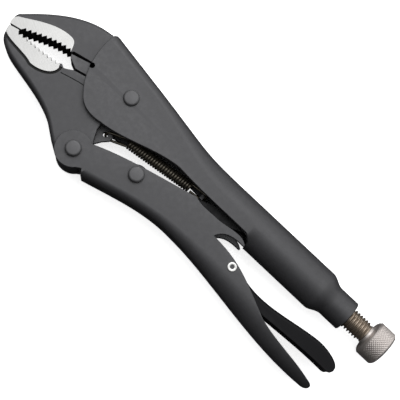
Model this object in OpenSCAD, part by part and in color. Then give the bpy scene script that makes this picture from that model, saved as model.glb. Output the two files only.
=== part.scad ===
// Locking pliers with curved jaws, shown closed and locked.
// Units are millimetres. The main pivot's axis is the Z axis, and the tool lies on the
// flat rivet head at z = 0. The adjusting screw points along +X and the jaws along -X.

/* [Handles] */
// Sheet thickness of the fixed handle
handle_sheet = 2.5; // [2:0.1:2.5]
// Corner radius along the back of the fixed handle
back_corner = 5; // [3:0.1:6]
// Sheet thickness of the operating lever
lever_sheet = 1.9; // [1.5:0.1:1.9]
// Sheet thickness of the release lever
release_sheet = 1.5; // [1:0.1:2]
// Thickness of the link between lever and screw
link_thickness = 6; // [4:0.2:6]

/* [Jaws] */
// Number of teeth in each jaw
tooth_count = 10; // [6:1:12]
// Depth of the teeth
tooth_depth = 1.4; // [0.8:0.1:1.6]
// Width of the wire cutter's slot
cutter_gap = 0.9; // [0.5:0.1:1.2]
// Thickness of the lower jaw's tongue
tongue_thickness = 4.2; // [3:0.1:5]

/* [Rivets] */
// Radius of the main pivot's shank
main_shank_r = 2.8; // [2.2:0.1:3]
// Radius of the two lever rivets' shanks
lever_shank_r = 2.5; // [2:0.1:3]
// Radius of the three rivet heads
head_r = 3.6; // [3.3:0.1:4]
// Gap between a moving part and what it turns on
running_gap = 0.05; // [0.03:0.01:0.09]

/* [Adjusting screw] */
// Outer radius of the thread
thread_r = 5; // [4.7:0.05:5]
// Pitch of the thread
thread_pitch = 1.5; // [1:0.25:2]
// Radius of the knob
knob_r = 8.6; // [7.5:0.1:9]
// Length of the knob's grip
knob_length = 9; // [8:0.5:12]

/* [Spring] */
// Wire radius
wire_r = 0.62; // [0.5:0.01:0.65]
// Radius of the coils, to the middle of the wire
coil_r = 2.2; // [2:0.05:2.3]
// Number of coils
coil_count = 22; // [18:1:24]

/* [View] */
// Which sub-part to draw

/* [Hidden] */
$fn = 64;
eps = 0.01;
far = 60; // reach of cutting shapes

// Heights across the tool, measured from its middle plane
mid_z = 10.4; // middle plane above the bench, and reach of every rivet head
handle_half = 8.8; // fixed handle
handle_inner = handle_half - handle_sheet;
jaw_half = 6.25;
lever_half = 8.3;
lever_inner = lever_half - lever_sheet;
release_half = 5.6;
head_edge = 0.5; // rounding of a rivet head
fixed_gap = 0.02; // gap round a rivet in the parts that it holds fast

// Pivots
jaw_pin = [-2.6, -33.4];
link_pin = [24.8, -22.9];
release_pin = [82, -23.5];
link_end = [80, -3.4];
screw_y = -3.2; // axis of the tube and screw

// Fixed handle
back_angle = -9.06; // slope of the back from the jaws to the tube
back_start = [-28, 17.84];
back_length = 93;
tube_start = 80;
rear_start = 41.5; // where the round back begins
tube_r = 9.8; // round above and below, flat at the sides
shoulder_x = 114;
neck_x = 124;
neck_r = 7.35;
tube_end = 134;
bore_x = 118;
tube_lip = 0.6;
tab_x = 51;
tab_half = 1.4;
tab_length = 1.6;
tab_foot = -10.2;
front_edge = [[-25, 15.3], [-26.2, 5], [-22.7, -6.8], [-16.5, -13]];
nose_edge = [[-16.5, -13], [-13.5, -17], [-8, -18.2], [-2.5, -17]];
belly_edge = [[-2.5, -17], [11, -15.9], [23.1, -8.4], [36.5, -7.7]];
channel_edge = [[36.5, -7.7], [50.7, -8.8], [64.8, -8.2], [76.5, -8.5]];
channel_end = [[76.5, -8.5], [78.2, -9.6], [79.8, -10.4], [80, -11.4]];

// Jaws
upper_tip = [[-62.5, -11], [-62.8, -9.2], [-63.5, -6.4], [-61.5, -5.1]];
upper_back = [[-61.5, -5.1], [-52.6, 4.3], [-40.8, 14.9], [-26.7, 15.9]];
upper_bite = [[-56.2, -10.8], [-48.7, -7.5], [-42.1, -3.6], [-33.7, -3.1]];
lower_bite = [[-56.5, -12], [-48.9, -11.2], [-41.1, -11.4], [-33.6, -9.7]];
lower_tip = [[-61.2, -14.2], [-61.2, -19.3], [-56, -21.4], [-51.9, -22.7]];
lower_belly = [[-51.9, -22.7], [-42.9, -24.9], [-33.3, -25.8], [-24.1, -29.7]];
lower_heel = [[-24.1, -29.7], [-18, -32.2], [-13.4, -37.2], [-8.6, -39.3]];
ear_r = 11.9; // upper jaw's ears round the main pivot
hub_gap = 0.15; // between the ears and the lower jaw's shoulders
tongue_r = 10.2;
neck_reach = 13.2;
slot_clear = 0.1;
parting_angle = 194.2;
boss_r = 8.2;
lug_half = 1.2;
lug_hole = [2, -18.2];
lug_hole_r = 1.2;

// Operating lever
ear_lever_r = 8.3;
lever_front = [[7.7, -39.8], [22.9, -35.8], [38.1, -30.4], [54.1, -31.5]];
lever_rear = [[54.1, -31.5], [80, -32.3], [107, -41.5], [138.1, -39.8]];
lever_rim = [[1.8, -26.3], [17.2, -19.5], [34.2, -16.3], [50.4, -11.7]];
lever_step = [[50.4, -11.7], [52.5, -12.7], [55.4, -12.9], [60.9, -12.6]];
beak_top = [[60.9, -12.6], [68, -13], [75, -9.4], [79.6, -13.1]];
beak_under = [[79.6, -13.5], [75.3, -14.1], [69.4, -14.2], [67.2, -19]];
tail_rim = [[67.2, -19], [83.9, -19.2], [91.8, -24.2], [106.5, -30.5]];
tail_end_rim = [[106.5, -30.5], [117.1, -33.7], [128.7, -33.7], [139.1, -36.4]];

// Release lever
release_top = [[92.1, -23.4], [105.5, -26], [118.6, -21.1], [131.9, -20.2]];
release_tip = [[131.9, -20.2], [139, -20.2], [146.5, -23], [143.9, -27.6]];
release_under = [[142.5, -28.1], [130.5, -27.7], [118.6, -28.7], [106.5, -29.4]];
release_shank_r = 1.35;
release_flange_r = 2.05;
release_hole_r = 0.8;
release_flange = 0.5;

// Adjusting screw and knob
screw_nose = 86.8;
thread_start = 104;
thread_end = 144;
thread_depth = 0.9;
core_r = 4.4;
nose_r = 3.2;
tenon_r = 3;
tenon_end = 151;
knob_start = 146.5;
knob_bevel = 0.8;
hub_x = 144.3;
hub_r = 4.5;

// Spring
coil_start = [11.8, -14.2];
coil_end = [44.8, -9.7];
wire_sides = 6;
coil_steps = 20;
bend_steps = 8;
coil_gap = 0.8; // from a hook's leg to the coil
hook_reach = 2.2;
hook_tail = 2.4;
rear_anchor = [tab_x + tab_length + wire_r + 0.05, -8.5];

// Points of a cubic curve, without its last point
function curve(p, n) = [for (i = [0:n - 1]) curve_at(p, i / n)];
function curve_at(p, t) = pow(1 - t, 3) * p[0] + 3 * pow(1 - t, 2) * t * p[1]
    + 3 * (1 - t) * t * t * p[2] + pow(t, 3) * p[3];

// Crests and valleys of a row of teeth along a curve
function teeth(p, depth) = [for (i = [0:2 * tooth_count])
    curve_at(p, i / (2 * tooth_count)) + [0, i % 2 == 0 ? 0 : depth]];

// Points of an arc round a centre
function arc(c, r, a0, a1, n) = [for (i = [0:n])
    c + r * [cos(a0 + (a1 - a0) * i / n), sin(a0 + (a1 - a0) * i / n)]];

function polar(r, a) = r * [cos(a), sin(a)];
function reversed(v) = [for (i = [len(v) - 1:-1:0]) v[i]];
function shifted(v, d) = [for (p = v) p + d];

// A flat plate of the given outline, from one half height to the other
module plate(half, points) {
    translate([0, 0, -half])
        linear_extrude(height = 2 * half)
            polygon(points);
}

// A shaft across the tool
module shaft(pin, r, half) {
    translate([pin[0], pin[1], -half])
        cylinder(h = 2 * half, r = r);
}

// A bar along X with rounded upper corners, its top at y = 0
module round_bar(length, half, corner) {
    translate([0, -far, -half])
        cube([length, far - corner, 2 * half]);
    translate([0, -corner - eps, corner - half])
        cube([length, corner + eps, 2 * (half - corner)]);
    for (side = [-1, 1])
        translate([0, -corner, side * (half - corner)])
            rotate([0, 90, 0])
                cylinder(h = length, r = corner);
}

// The sloping front part of the channel, in or out
module front_bar(inset) {
    translate([back_start[0], back_start[1], 0])
        rotate([0, 0, back_angle])
            translate([0, -inset, 0])
                round_bar(back_length, handle_half - inset, back_corner - inset);
}

// A slab across the whole length, for what is flat at the sides
module slab(half) {
    translate([-far, -far, -half])
        cube([4 * far, 2 * far, 2 * half]);
}

// The level rear part of the channel, in or out
module rear_bar(inset) {
    r = tube_r - inset;
    intersection() {
        union() {
            translate([rear_start, screw_y, 0])
                rotate([0, 90, 0])
                    cylinder(h = tube_start - rear_start + eps, r = r);
            translate([rear_start, -far, -r])
                cube([tube_start - rear_start + eps, far + screw_y, 2 * r]);
        }
        slab(handle_half - inset);
    }
}

// Side outline of the channel
function channel_outline() = concat(
    [[-22.8, 17.05], [-24.2, 16.7]],
    curve(front_edge, 14),
    curve(nose_edge, 12),
    curve(belly_edge, 14),
    curve(channel_edge, 8),
    curve(channel_end, 4),
    [[tube_start, -11.4], [tube_start, far], [-22.8, far]]);

module rear_tube() {
    shoulder = [[tube_r, shoulder_x], [tube_r, 119.6], [neck_r, 118.8], [neck_r, neck_x]];
    difference() {
        intersection() {
            translate([0, screw_y, 0])
                rotate([0, 90, 0])
                    rotate_extrude()
                        polygon(concat(
                            [[0, tube_start - eps], [tube_r, tube_start - eps]],
                            curve(shoulder, 10),
                            [[neck_r, neck_x], [neck_r, tube_end - tube_lip],
                                [neck_r - tube_lip, tube_end], [0, tube_end]]));
            slab(handle_half);
        }
        intersection() {
            translate([tube_start - 1, screw_y, 0])
                rotate([0, 90, 0])
                    cylinder(h = bore_x - tube_start, r = tube_r - handle_sheet);
            slab(handle_inner);
        }
        translate([tube_start, screw_y, 0])
            rotate([0, 90, 0])
                cylinder(h = far, r = thread_r + running_gap);
    }
}

// The tab between the legs of the spring's rear hook
module spring_tab() {
    translate([tab_x, tab_foot, -tab_half])
        cube([tab_length, 4.2 - tab_foot, 2 * tab_half]);
}

module fixed_handle() {
    color([0.16, 0.16, 0.17])
        difference() {
            union() {
                difference() {
                    intersection() {
                        union() {
                            front_bar(0);
                            rear_bar(0);
                        }
                        plate(far, channel_outline());
                    }
                    front_bar(handle_sheet);
                    rear_bar(handle_sheet);
                }
                rear_tube();
                spring_tab();
            }
            shaft([0, 0], main_shank_r + fixed_gap, far);
        }
}

// The bite and cutter, from the tip to the ears
function upper_outline() = concat(
    curve(upper_tip, 6),
    curve(upper_back, 18),
    [[-26.7, 15.9]],
    [[16, 15.9], [16, -3.2]],
    arc([0, 0], ear_r, -16, parting_angle - 360, 40),
    [polar(28, parting_angle), [-32.2, -4.7], [-33, -3.2]],
    [[-24.1, -cutter_gap / 2 - 0.1], [-24.1, cutter_gap / 2 - 0.1], [-33, -3.2 + 1.6 * cutter_gap]],
    reversed(teeth(upper_bite, tooth_depth)),
    [[-56.6, -10.95], [-61.7, -12.2]]);

module upper_jaw() {
    color([0.3, 0.3, 0.31])
        difference() {
            intersection() {
                plate(jaw_half, upper_outline());
                union() {
                    front_bar(handle_sheet);
                    translate([-100, -far, -far])
                        cube([74.5, 2 * far, 2 * far]);
                    plate(far, concat(
                        curve(front_edge, 14),
                        [[-16.5, -13], [-40, -13], [-40, 15.3]]));
                }
            }
            shaft([0, 0], tongue_r + slot_clear, tongue_thickness / 2 + slot_clear);
            plate(tongue_thickness / 2 + slot_clear, concat(
                [[0, 0]],
                arc([0, 0], neck_reach, parting_angle + 0.8, 304, 20)));
            shaft([0, 0], main_shank_r + fixed_gap, far);
        }
}

function lower_outline() = concat(
    [[-61.6, -12.25], [-56.6, -11.02]],
    teeth(lower_bite, -tooth_depth),
    [[-32.8, -9.3], [-31.1, -10.2], [-30, -9.7], polar(28.2, parting_angle + 0.4)],
    arc([0, 0], ear_r + hub_gap, parting_angle + 0.7, 256, 16),
    [[-1.6, -19.8], [0.9, -24.8]],
    arc(jaw_pin, boss_r, 52, -136, 20),
    reversed(curve(lower_heel, 6)),
    reversed(curve(lower_belly, 8)),
    reversed(curve(lower_tip, 8)));

module lower_jaw() {
    color([0.3, 0.3, 0.31])
        difference() {
            union() {
                plate(jaw_half, lower_outline());
                shaft([0, 0], tongue_r, tongue_thickness / 2);
                plate(tongue_thickness / 2, concat(
                    [[0, 0]],
                    arc([0, 0], neck_reach, 197, 252, 12)));
                plate(lug_half, [[-8, -14], [-2, -11], [3.6, -15.4], [5.4, -17.4], [5.2, -19.2],
                    [3, -21.6], [0.6, -25.6], [-8, -25]]);
            }
            shaft([0, 0], main_shank_r + running_gap, far);
            shaft(jaw_pin, lever_shank_r + fixed_gap, far);
            shaft(lug_hole, lug_hole_r, far);
        }
}

function lever_outline() = concat(
    arc(jaw_pin, ear_lever_r, 60, 320, 36),
    [[5.9, -37.3]],
    curve(lever_front, 14),
    curve(lever_rear, 20),
    [[138.1, -39.8], [140.4, -39.6], [141.6, -38.8], [141.9, -37.9], [141.2, -36.9]],
    reversed(curve(tail_end_rim, 10)),
    reversed(curve(tail_rim, 12)),
    reversed(curve(beak_under, 8)),
    reversed(curve(beak_top, 8)),
    reversed(curve(lever_step, 8)),
    reversed(curve(lever_rim, 14)));

// The hollow between the lever's cheeks, open upwards and at the front
function lever_hollow() = concat(
    [[-far, -far], [7.7, -far]],
    shifted(curve(lever_front, 14), [0, lever_sheet]),
    shifted(curve(lever_rear, 20), [0, lever_sheet]),
    [[138.1, -36.9], [150, -36.9], [150, far], [-far, far]]);

module operating_lever() {
    color([0.16, 0.16, 0.17])
        difference() {
            plate(lever_half, lever_outline());
            plate(lever_inner, lever_hollow());
            shaft(jaw_pin, lever_shank_r + running_gap, far);
            shaft(link_pin, lever_shank_r + fixed_gap, far);
            shaft(release_pin, release_shank_r + fixed_gap, far);
        }
}

module toggle_link() {
    reach = link_end - link_pin;
    length = norm(reach);
    color([0.2, 0.2, 0.21])
        difference() {
            translate([link_pin[0], link_pin[1], 0])
                rotate([0, 0, atan2(reach[1], reach[0])])
                    union() {
                        shaft([0, 0], 5.6, link_thickness / 2);
                        shaft([length, 0], 4.2, link_thickness / 2);
                        plate(link_thickness / 2, concat(
                            curve([[0, 5.2], [8, 3.2], [14, 2.3], [26, 2.3]], 8),
                            curve([[26, 2.3], [40, 2.3], [48, 2.6], [length, 2.6]], 6),
                            [[length, 2.6], [length, -2.8]],
                            curve([[length, -2.8], [48, -3.4], [40, -4], [26, -4]], 6),
                            curve([[26, -4], [14, -4], [8, -4.4], [0, -5.4]], 8)));
                    }
            shaft(link_pin, lever_shank_r + running_gap, far);
        }
}

function release_outline() = concat(
    [[57, -17], [61, -17.2], [66, -20.4], [78, -21.6], [86, -21.7]],
    curve(release_top, 12),
    curve(release_tip, 12),
    curve(release_under, 10),
    [[106.5, -29.4], [95, -28.9], [82, -27.4], [66, -25.4], [57.6, -22.4], [56.4, -19]]);

module release_lever() {
    color([0.12, 0.12, 0.13])
        difference() {
            plate(release_half, release_outline());
            plate(release_half - release_sheet, concat(
                [[40, -far], [40, -24], [59, -20], [61, -18.9], [66, -22], [78, -23.2], [86, -23.7]],
                shifted(curve(release_top, 12), [0, -release_sheet]),
                [[131.9, -21.9], [138, -22.6], [141.4, -24.6], [142.2, -27], [142, -far]]));
            shaft(release_pin, release_shank_r + running_gap, far);
        }
}

// A button-headed rivet across the whole tool
module button_rivet(pin, shank_r, seat) {
    translate([pin[0], pin[1], 0])
        rotate_extrude()
            polygon([[0, -mid_z], [head_r - head_edge, -mid_z], [head_r, -mid_z + head_edge],
                [head_r, -seat], [shank_r, -seat], [shank_r, seat], [head_r, seat],
                [head_r, mid_z - head_edge], [head_r - head_edge, mid_z], [0, mid_z]]);
}

module main_rivet() {
    color([0.18, 0.18, 0.19])
        button_rivet([0, 0], main_shank_r, handle_half + fixed_gap);
}

module jaw_rivet() {
    color([0.18, 0.18, 0.19])
        button_rivet(jaw_pin, lever_shank_r, lever_half + running_gap);
}

module link_rivet() {
    color([0.18, 0.18, 0.19])
        button_rivet(link_pin, lever_shank_r, lever_half + fixed_gap);
}

module release_rivet() {
    seat = lever_half + fixed_gap;
    rim = seat + release_flange;
    color([0.8, 0.8, 0.8])
        translate([release_pin[0], release_pin[1], 0])
            rotate_extrude()
                polygon([[release_hole_r, -rim], [release_flange_r - 0.2, -rim],
                    [release_flange_r, -rim + 0.2], [release_flange_r, -seat], [release_shank_r, -seat],
                    [release_shank_r, seat], [release_flange_r, seat], [release_flange_r, rim - 0.2],
                    [release_flange_r - 0.2, rim], [release_hole_r, rim]]);
}

module adjusting_screw() {
    turns = floor((thread_end - thread_start) / thread_pitch);
    root_r = thread_r - thread_depth;
    color([0.62, 0.6, 0.57])
        translate([0, screw_y, 0])
            rotate([0, 90, 0])
                rotate_extrude()
                    polygon(concat(
                        [[0, screw_nose], [nose_r, screw_nose], [core_r, screw_nose + 2],
                            [core_r, thread_start - 1]],
                        [for (i = [0:4 * turns - 1])
                            [i % 4 < 2 ? root_r : thread_r,
                                thread_start + thread_pitch * (floor(i / 4) + [0, 0.14, 0.5, 0.64][i % 4])]],
                        [[root_r, thread_start + thread_pitch * turns], [root_r, hub_x + 0.5],
                            [tenon_r, hub_x + 0.5], [tenon_r, tenon_end], [0, tenon_end]]));
}

module knurled_knob() {
    bore_r = tenon_r + running_gap;
    flare = [[hub_r, hub_x + 0.6], [hub_r, 145.8], [5.4, knob_start], [knob_r - knob_bevel, knob_start]];
    color([0.66, 0.63, 0.6])
        translate([0, screw_y, 0])
            rotate([0, 90, 0])
                rotate_extrude()
                    polygon(concat(
                        [[bore_r, hub_x + 0.6]],
                        curve(flare, 8),
                        [[knob_r - knob_bevel, knob_start], [knob_r, knob_start + knob_bevel],
                            [knob_r, knob_start + knob_length - knob_bevel],
                            [knob_r - knob_bevel, knob_start + knob_length],
                            [0, knob_start + knob_length], [0, tenon_end + 0.1], [bore_r, tenon_end + 0.1]]));
}

function unit(v) = v / norm(v);

// Points given along a direction in the middle plane, moved to where it starts
function along(start, run, points) = let (d = unit(run))
    [for (p = points) [start[0] + d[0] * p[0] - d[1] * p[1], start[1] + d[1] * p[0] + d[0] * p[1], p[2]]];

// A hook's wire from its free end, round the bend at the start, to the end of its long leg
function hook_path(leg) = concat(
    [[hook_reach + hook_tail, 0, -coil_r]],
    [for (a = [270:-180 / bend_steps:90]) [hook_reach + coil_r * cos(a), 0, coil_r * sin(a)]],
    [[leg - coil_gap, 0, coil_r]]);

function coil_path(length) = [for (i = [0:coil_count * coil_steps])
    let (turn = 360 * i / coil_steps)
        [length * turn / 360 / coil_count, coil_r * sin(turn), coil_r * cos(turn)]];

function spring_path() = let (run = coil_end - coil_start, lead = coil_start - lug_hole,
    trail = coil_end - rear_anchor) concat(
        along(lug_hole, lead, hook_path(norm(lead))),
        along(coil_start, run, coil_path(norm(run))),
        reversed(along(rear_anchor, trail, hook_path(norm(trail)))));

// A round wire along a path, its section carried along without twist
module wire(path) {
    last = len(path) - 1;
    heading = [for (i = [0:last]) unit(path[min(i + 1, last)] - path[max(i - 1, 0)])];
    side = [for (i = 0, n = [0, 1, 0]; i <= last;
        i = i + 1, n = i > last ? n : unit(n - heading[i] * (n * heading[i]))) n];
    points = [for (i = [0:last], j = [0:wire_sides - 1])
        path[i] + wire_r * (side[i] * cos(360 * j / wire_sides)
            + cross(heading[i], side[i]) * sin(360 * j / wire_sides))];
    walls = [for (i = [0:last - 1], j = [0:wire_sides - 1])
        let (a = i * wire_sides + j, b = i * wire_sides + (j + 1) % wire_sides)
            [a, a + wire_sides, b + wire_sides, b]];
    ends = [[for (j = [0:wire_sides - 1]) j],
        [for (j = [wire_sides - 1:-1:0]) last * wire_sides + j]];
    polyhedron(points = points, faces = concat(walls, ends), convexity = 10);
}

module tension_spring() {
    color([0.08, 0.08, 0.08])
        wire(spring_path());
}

translate([0, 0, mid_z]) {
    fixed_handle();
    upper_jaw();
    lower_jaw();
    operating_lever();
    toggle_link();
    release_lever();
    main_rivet();
    jaw_rivet();
    link_rivet();
    release_rivet();
    adjusting_screw();
    knurled_knob();
    tension_spring();
}
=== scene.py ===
"""Locking pliers: detailed pieces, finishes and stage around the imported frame."""

import math

import bmesh
import bpy
from bpy.props import FloatProperty, FloatVectorProperty, IntProperty, PointerProperty
from bpy.types import Operator, Panel, PropertyGroup
from mathutils import Matrix, Vector
from mathutils.bvhtree import BVHTree


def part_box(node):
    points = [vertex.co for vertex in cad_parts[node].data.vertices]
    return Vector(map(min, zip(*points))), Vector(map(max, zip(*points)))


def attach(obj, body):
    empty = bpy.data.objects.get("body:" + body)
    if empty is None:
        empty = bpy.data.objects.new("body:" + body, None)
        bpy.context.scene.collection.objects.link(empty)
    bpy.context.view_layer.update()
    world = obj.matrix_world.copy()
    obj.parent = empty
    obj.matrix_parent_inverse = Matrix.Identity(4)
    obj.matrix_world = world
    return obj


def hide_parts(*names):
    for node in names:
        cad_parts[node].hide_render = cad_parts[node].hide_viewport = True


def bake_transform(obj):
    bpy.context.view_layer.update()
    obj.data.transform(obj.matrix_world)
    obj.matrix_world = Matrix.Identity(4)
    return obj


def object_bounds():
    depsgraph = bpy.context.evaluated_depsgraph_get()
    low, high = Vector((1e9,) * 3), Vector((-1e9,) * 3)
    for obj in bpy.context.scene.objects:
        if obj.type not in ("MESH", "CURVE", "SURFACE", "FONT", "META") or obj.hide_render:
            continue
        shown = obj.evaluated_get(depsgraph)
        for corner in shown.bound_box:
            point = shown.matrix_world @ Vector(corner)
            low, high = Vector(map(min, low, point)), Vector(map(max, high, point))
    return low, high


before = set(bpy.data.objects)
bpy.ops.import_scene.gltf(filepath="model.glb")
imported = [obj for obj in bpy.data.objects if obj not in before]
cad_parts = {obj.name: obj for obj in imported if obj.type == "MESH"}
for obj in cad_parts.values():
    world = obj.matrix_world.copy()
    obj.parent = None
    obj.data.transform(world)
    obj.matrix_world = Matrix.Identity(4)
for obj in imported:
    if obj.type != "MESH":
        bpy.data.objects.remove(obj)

bl_info = {
    "name": "Locking Pliers",
    "version": (1, 0, 0),
    "blender": (4, 5, 0),
    "location": "View3D > Sidebar > Pliers",
    "description": "Builds the pieces, finishes and stage of a pair of locking pliers",
    "category": "Add Mesh",
}

MM = 0.001
CAD_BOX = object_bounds()
MAIN_LOW, MAIN_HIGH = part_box("main_rivet")
MID_Z = (MAIN_LOW.z + MAIN_HIGH.z) / 2 / MM
HEAD_TOP = (MAIN_HIGH.z - MAIN_LOW.z) / 2 / MM
HEAD_R = (MAIN_HIGH.x - MAIN_LOW.x) / 2 / MM


def pin_of(node):
    """Where a pin across the tool stands, in millimetres."""
    low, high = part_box(node)
    return ((low.x + high.x) / 2 / MM, (low.y + high.y) / 2 / MM)


MAIN_PIN = pin_of("main_rivet")
JAW_PIN = pin_of("jaw_rivet")
LINK_PIN = pin_of("link_rivet")
RELEASE_PIN = pin_of("release_rivet")
KNOB_LOW, KNOB_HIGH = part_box("knurled_knob")
SCREW_Y = (KNOB_LOW.y + KNOB_HIGH.y) / 2 / MM
KNOB_R = (KNOB_HIGH.y - KNOB_LOW.y) / 2 / MM
KNOB_END = KNOB_HIGH.x / MM
TUBE_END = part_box("fixed_handle")[1].x / MM

# Half widths across the tool, in millimetres
HANDLE_HALF = 8.8
TUBE_R = 9.8
NECK_R = 7.35
JAW_HALF = 6.25
LEVER_HALF = 8.3
RELEASE_HALF = 5.6
LUG_HALF = 1.2
TONGUE_HALF = 2.1
TONGUE_R = 10.2
NECK_REACH = 13.2

# Outline curves of the pieces, seen along the pivots, in millimetres
FRONT_EDGE = ((-25, 15.3), (-26.2, 5), (-22.7, -6.8), (-16.5, -13))
NOSE_EDGE = ((-16.5, -13), (-13.5, -17), (-8, -18.2), (-2.5, -17))
BELLY_EDGE = ((-2.5, -17), (11, -15.9), (23.1, -8.4), (36.5, -7.7))
CHANNEL_EDGE = ((36.5, -7.7), (50.7, -8.8), (64.8, -8.2), (76.5, -8.5))
CHANNEL_END = ((76.5, -8.5), (78.2, -9.6), (79.8, -10.4), (80, -11.4))
UPPER_TIP = ((-62.5, -11), (-62.8, -9.2), (-63.5, -6.4), (-61.5, -5.1))
UPPER_BACK = ((-61.5, -5.1), (-52.6, 4.3), (-40.8, 14.9), (-26.7, 15.9))
UPPER_BITE = ((-56.2, -10.8), (-48.7, -7.5), (-42.1, -3.6), (-33.7, -3.1))
LOWER_BITE = ((-56.5, -12), (-48.9, -11.2), (-41.1, -11.4), (-33.6, -9.7))
LOWER_TIP = ((-61.2, -14.2), (-61.2, -19.3), (-56, -21.4), (-51.9, -22.7))
LOWER_BELLY = ((-51.9, -22.7), (-42.9, -24.9), (-33.3, -25.8), (-24.1, -29.7))
LOWER_HEEL = ((-24.1, -29.7), (-18, -32.2), (-13.4, -37.2), (-8.6, -39.3))
LEVER_FRONT = ((7.7, -39.8), (22.9, -35.8), (38.1, -30.4), (54.1, -31.5))
LEVER_REAR = ((54.1, -31.5), (80, -32.3), (107, -41.5), (138.1, -39.8))
LEVER_RIM = ((1.8, -26.3), (17.2, -19.5), (34.2, -16.3), (50.4, -11.7))
LEVER_STEP = ((50.4, -11.7), (52.5, -12.7), (55.4, -12.9), (60.9, -12.6))
BEAK_TOP = ((60.9, -12.6), (68, -13), (75, -9.4), (79.3, -12.5))
BEAK_UNDER = ((79.2, -13.7), (75.3, -13.5), (69.4, -13.7), (67.2, -19))
TAIL_RIM = ((67.2, -19), (83.9, -19.2), (91.8, -24.2), (106.5, -30.5))
TAIL_END_RIM = ((106.5, -30.5), (117.1, -33.7), (128.7, -33.7), (139.1, -36.4))
RELEASE_TOP = ((92.1, -23.4), (105.5, -26), (118.6, -21.1), (131.9, -20.2))
RELEASE_TIP = ((131.9, -20.2), (139, -20.2), (146.3, -22.6), (144.1, -26.4))
RELEASE_END = ((144.1, -26.4), (143.7, -27.3), (143.3, -28.1), (141.5, -28.1))
RELEASE_UNDER = ((141.5, -28.1), (130.5, -27.7), (118.6, -28.7), (106.5, -29.4))
UPPER_LAND_TIP = ((-61.7, -12.0), (-62.6, -10.6), (-62.6, -8.6), (-61.2, -7.3))
UPPER_LAND = ((-61.2, -7.3), (-55.5, -4.2), (-47.5, 2.4), (-38.5, 2.3))
UPPER_LAND_END = ((-38.5, 2.3), (-36.2, 2.3), (-35.3, 1.2), (-34.4, -1.2))
LOWER_LAND = ((-60.8, -15.5), (-58.2, -18), (-47, -17), (-43, -18.8))
LOWER_LAND_HEEL = ((-43, -18.8), (-39, -18.9), (-31.2, -16.2), (-32.6, -10.6))

EAR_R = 11.9
PARTING = 194.2
BOSS_R = 8.2
EAR_LEVER_R = 8.3
LUG_HOLE = (2.0, -18.2)
COIL_START = (11.8, -13.8)
COIL_END = (44.8, -9.3)
REAR_ANCHOR = (53.27, -8.5)
COIL_R = 2.05
WIRE_R = 0.62
COILS = 26
HOOK_LEAN = math.radians(38)


# ---------------------------------------------------------------- sizes and colours


class PliersShape(PropertyGroup):
    handle_sheet: FloatProperty(
        name="Handle sheet", description="Sheet thickness of the fixed handle, in millimetres", default=2.5)
    lever_sheet: FloatProperty(
        name="Lever sheet", description="Sheet thickness of the operating lever, in millimetres",
        default=1.9)
    release_sheet: FloatProperty(
        name="Release sheet", description="Sheet thickness of the release lever, in millimetres",
        default=1.5)
    edge_round: FloatProperty(
        name="Edge rounding", description="Rounding of stamped sheet edges, in millimetres", default=0.34)
    forged_round: FloatProperty(
        name="Forged rounding", description="Rounding of the jaws' outer backs, in millimetres",
        default=2.0)
    tooth_depth: FloatProperty(
        name="Tooth depth", description="Depth of the jaws' teeth, in millimetres", default=1.4)
    tooth_count: IntProperty(
        name="Teeth", description="Teeth in each jaw", default=10, min=4, max=16)
    land_step: FloatProperty(
        name="Land step", description="Height of the ground lands above the forged faces, in millimetres",
        default=0.35)
    thread_pitch: FloatProperty(
        name="Thread pitch", description="Pitch of the adjusting screw, in millimetres", default=1.5)
    thread_depth: FloatProperty(
        name="Thread depth", description="Depth of the screw's thread, in millimetres", default=0.85)
    knurl_depth: FloatProperty(
        name="Knurl depth", description="Depth of the knob's knurling, in millimetres", default=0.28)
    knurl_count: IntProperty(
        name="Knurls", description="Diamonds round the knob", default=44, min=12, max=96)


class PliersFinish(PropertyGroup):
    coat: FloatVectorProperty(
        name="Coating", description="Satin gunmetal coating", subtype="COLOR",
        default=(0.052, 0.052, 0.0555))
    # Edge colour: partly rubbed wear, partly a painted highlight where the rounded edges catch light.
    coat_rubbed_and_highlight: FloatVectorProperty(
        name="Coating, rubbed and highlight", description="Gunmetal coating rubbed light at its edges", subtype="COLOR",
        default=(0.12, 0.12, 0.124))
    rivet: FloatVectorProperty(
        name="Rivets", description="Coating of the rivet heads", subtype="COLOR",
        default=(0.082, 0.082, 0.086))
    # Black finish of the release lever and link, darkened further as painted shade for their place deep
    # between the handles.
    dark_coat_and_shade: FloatVectorProperty(
        name="Dark coating and shade", description="Coating of the release lever", subtype="COLOR",
        default=(0.0075, 0.0075, 0.0085))
    ground: FloatVectorProperty(
        name="Ground steel", description="Bright ground lands of the jaws", subtype="COLOR",
        default=(0.42, 0.42, 0.415))
    nickel: FloatVectorProperty(
        name="Nickel", description="Plating of the screw and knob", subtype="COLOR",
        default=(0.56, 0.515, 0.49))
    thread: FloatVectorProperty(
        name="Oiled thread", description="Nickel of the screw, darkened by oil", subtype="COLOR",
        default=(0.33, 0.275, 0.22))
    # Near-black painted shade for groove floors and tooth flanks; what the description calls oil and scale
    # is shade.
    slot: FloatVectorProperty(
        name="Slot shade", description="Oil and scale in the narrow grooves", subtype="COLOR",
        default=(0.006, 0.006, 0.006))
    wire: FloatVectorProperty(
        name="Spring wire", description="Oiled black spring wire", subtype="COLOR",
        default=(0.115, 0.103, 0.082))
    floor: FloatVectorProperty(
        name="Floor", description="Pale floor", subtype="COLOR", default=(0.93, 0.93, 0.93))
    coat_roughness: FloatProperty(
        name="Coating roughness", description="Roughness of the gunmetal coating", default=0.46, min=0,
        max=1,
        subtype="FACTOR")


# ---------------------------------------------------------------- outlines


def curve(points, steps, last=False):
    """Points of a cubic curve, without its last point unless asked."""
    a, b, c, d = (Vector(p) for p in points)
    out = []
    for i in range(steps + (1 if last else 0)):
        t = i / steps
        s = 1 - t
        out.append(tuple(a * s**3 + b * 3 * s * s * t + c * 3 * s * t * t + d * t**3))
    return out


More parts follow.
